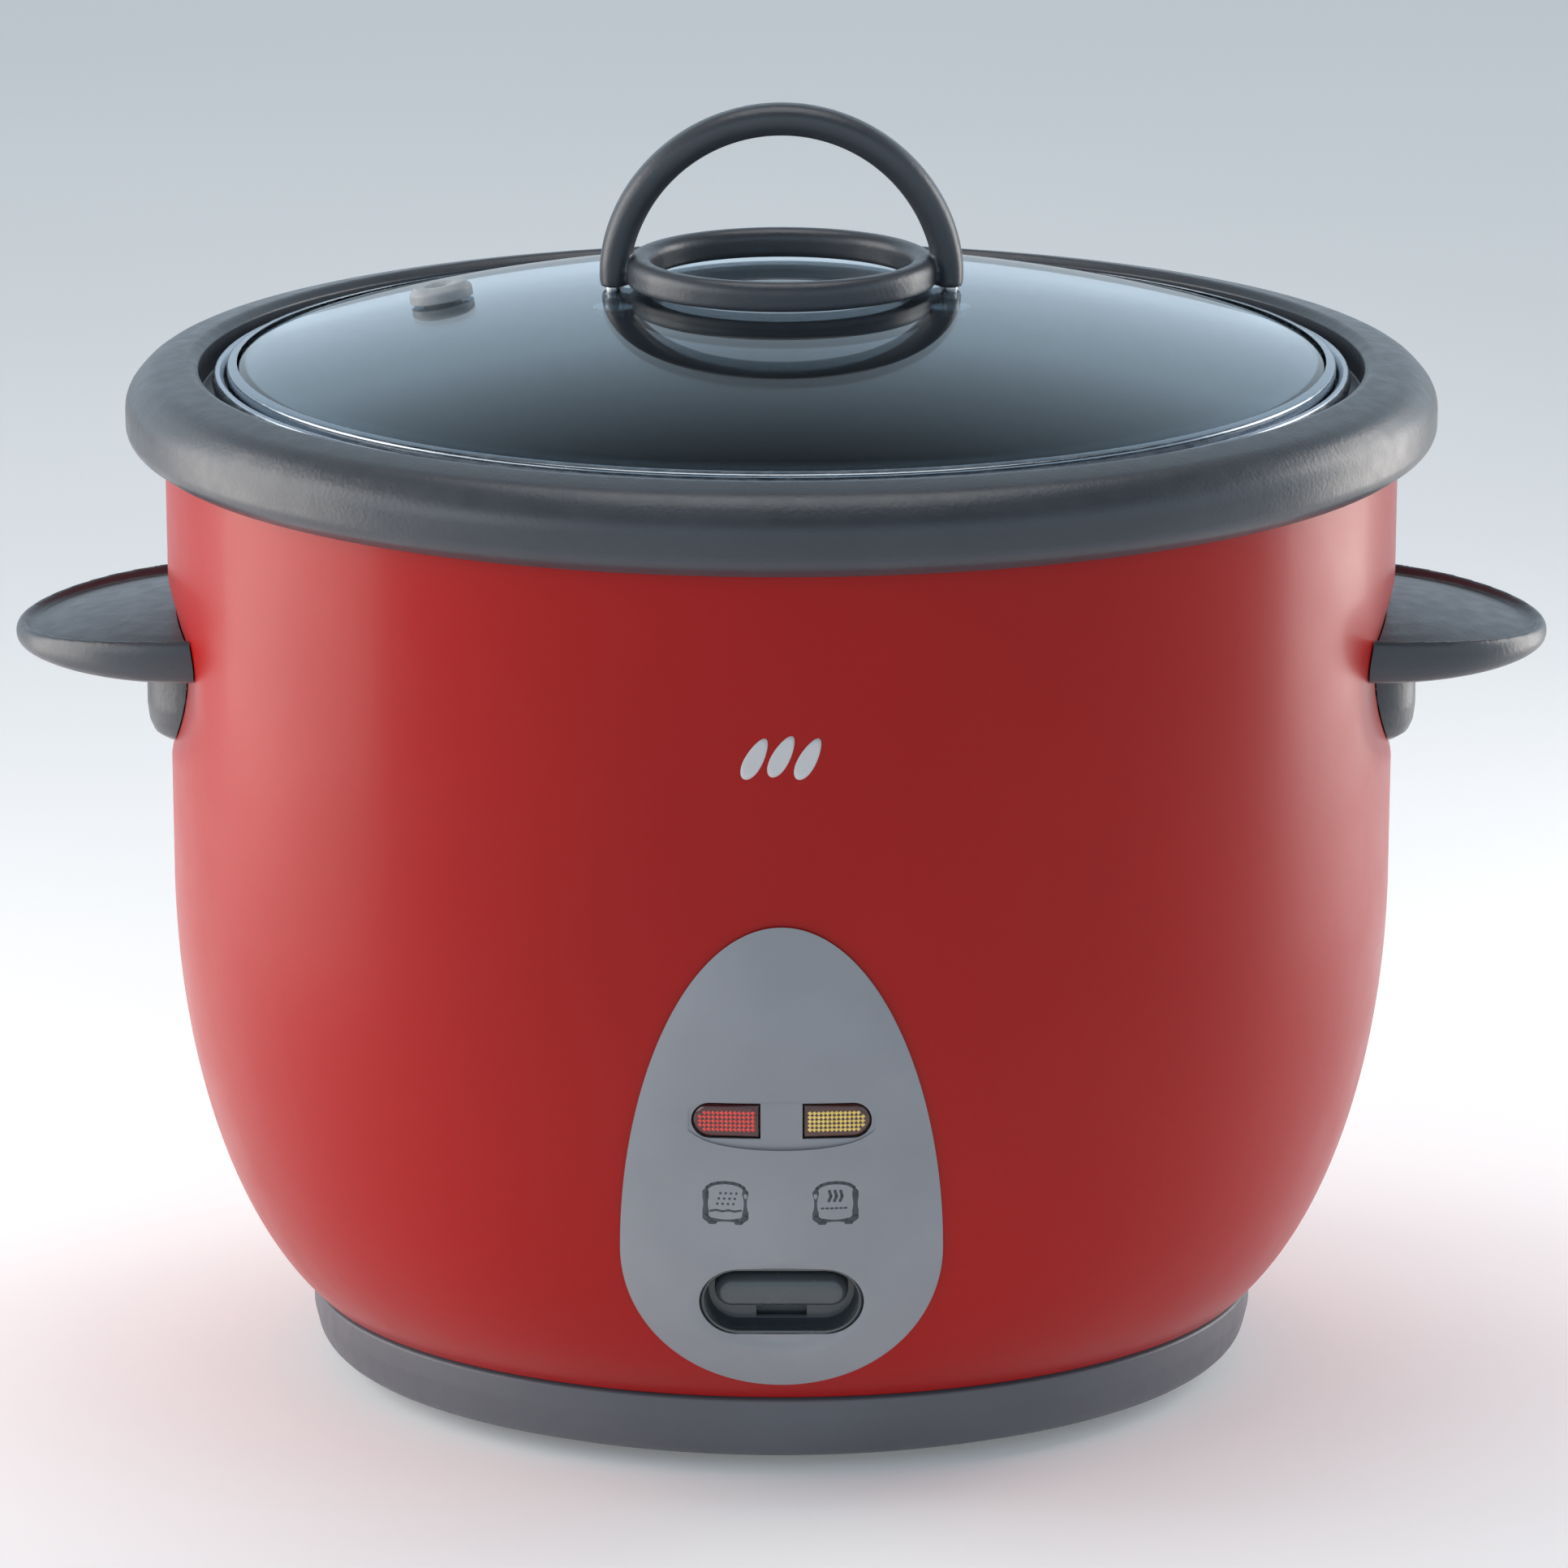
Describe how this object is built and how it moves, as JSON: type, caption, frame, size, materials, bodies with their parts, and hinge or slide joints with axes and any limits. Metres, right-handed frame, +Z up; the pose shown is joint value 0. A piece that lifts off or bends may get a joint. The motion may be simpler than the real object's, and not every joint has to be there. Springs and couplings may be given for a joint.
{
  "type": "rice cooker",
  "caption": "Electric rice cooker with a red tapering body, dark plastic rim and side handles, domed glass lid with an arch handle, lift-out pot and a press-down cook switch.",
  "frame": {"origin": "on the table surface, under the middle of the body", "axes": "+X to the right side handle, +Y to the rear power inlet (the control panel faces -Y), +Z up"},
  "size_m": [0.312, 0.2662, 0.2605],
  "materials": {
    "red_enamel": "glossy red lacquer over sheet steel",
    "dark_plastic": "dark grey moulded plastic, soft satin sheen",
    "base_plastic": "mid grey moulded plastic, satin",
    "panel_plastic": "mid grey satin plastic with a bright edge line",
    "gloss_dark_plastic": "near-black glossy plastic",
    "red_lens": "clear red moulded lens with a dotted inner face",
    "amber_lens": "clear amber moulded lens with a dotted inner face",
    "plate_steel": "zinc-plated sheet steel",
    "bright_steel": "bright plated steel",
    "band_steel": "polished stainless steel trim",
    "cast_aluminium": "machined cast aluminium",
    "pot_metal": "drawn aluminium with a dark non-stick inside",
    "lid_glass": "clear tempered glass, faint cool tint",
    "silicone": "milky translucent silicone",
    "foot_rubber": "black rubber",
    "brass": "plain brass",
    "ferrite": "sintered dark grey ferrite",
    "insulation": "off-white heat-resistant moulding",
    "wire_sleeve": "woven heat-resistant sleeve"
  },
  "bodies": {
    "housing": {"outer_body": "red_enamel", "rim_ring": "dark_plastic", "base_ring": "base_plastic", "bottom_plate": "plate_steel", "bottom_screw_1": "bright_steel", "bottom_screw_2": "bright_steel", "bottom_screw_3": "bright_steel", "foot_1": "foot_rubber", "foot_2": "foot_rubber", "foot_3": "foot_rubber", "foot_4": "foot_rubber", "side_handle_right": "dark_plastic", "side_handle_right_screw_1": "bright_steel", "side_handle_right_screw_2": "bright_steel", "side_handle_left": "dark_plastic", "side_handle_left_screw_1": "bright_steel", "side_handle_left_screw_2": "bright_steel", "control_panel": "panel_plastic", "cook_lamp_lens": "red_lens", "warm_lamp_lens": "amber_lens", "lamp_holder": "insulation", "switch_well": "gloss_dark_plastic", "power_inlet": "gloss_dark_plastic", "inlet_pin_live": "bright_steel", "inlet_pin_neutral": "bright_steel", "inlet_screw_1": "bright_steel", "inlet_screw_2": "bright_steel", "inner_liner": "plate_steel", "heating_plate": "cast_aluminium", "heater_post_1": "bright_steel", "heater_post_2": "bright_steel", "heater_post_3": "bright_steel", "element_terminal_left": "brass", "element_terminal_right": "brass", "magnet_spring": "bright_steel", "lever_pivot_pin": "bright_steel", "switch_bracket": "plate_steel", "microswitch": "gloss_dark_plastic", "warm_thermostat": "insulation", "thermal_fuse": "insulation", "wire_live": "wire_sleeve", "wire_neutral": "wire_sleeve", "wire_switch": "wire_sleeve", "wire_element": "wire_sleeve", "wire_lamps": "wire_sleeve"},
    "inner_pot": {"inner_pot": "pot_metal"},
    "lid": {"lid_glass": "lid_glass", "lid_band": "band_steel", "handle_screw_left": "bright_steel", "handle_screw_right": "bright_steel", "lid_handle": "dark_plastic", "steam_vent": "silicone"},
    "switch_lever": {"lever_arm": "plate_steel", "switch_knob": "gloss_dark_plastic"},
    "magnet_plunger": {"magnet": "ferrite", "magnet_rod": "bright_steel"},
    "switch_button": {"microswitch_button": "red_lens"},
    "sensor": {"sensor_cap": "cast_aluminium", "sensor_ferrite": "ferrite", "sensor_spring": "bright_steel"}
  },
  "joints": [
    {"name": "pot_lift", "type": "slide", "parent": "housing", "child": "inner_pot", "axis": [0, 0, 1], "range_m": [0, 0.2]},
    {"name": "lid_lift", "type": "slide", "parent": "inner_pot", "child": "lid", "axis": [0, 0, 1], "range_m": [0, 0.2]},
    {"name": "switch_press", "type": "hinge", "parent": "housing", "child": "switch_lever", "pos_m": [0, -0.045, 0.02275], "axis": [1, 0, 0], "range_deg": [0, 4.1], "stiffness_Nm_per_rad": 1, "springref_deg": -8.59},
    {"name": "magnet_slide", "type": "slide", "parent": "housing", "child": "magnet_plunger", "axis": [0, 0, 1], "range_m": [0, 0.004], "deforming": ["magnet_spring"]},
    {"name": "button_slide", "type": "slide", "parent": "housing", "child": "switch_button", "axis": [0, 0, -1], "range_m": [0, 0.0015]},
    {"name": "sensor_rise", "type": "slide", "parent": "housing", "child": "sensor", "axis": [0, 0, 1], "range_m": [0, 0.0031], "deforming": ["sensor_spring"]}
  ],
  "couplings": [
    {"joint": "magnet_slide", "follows": "switch_press", "m_per_rad": 0.045},
    {"joint": "button_slide", "follows": "switch_press", "m_per_rad": 0.016},
    {"joint": "sensor_rise", "follows": "pot_lift", "ratio": 0.015}
  ]
}
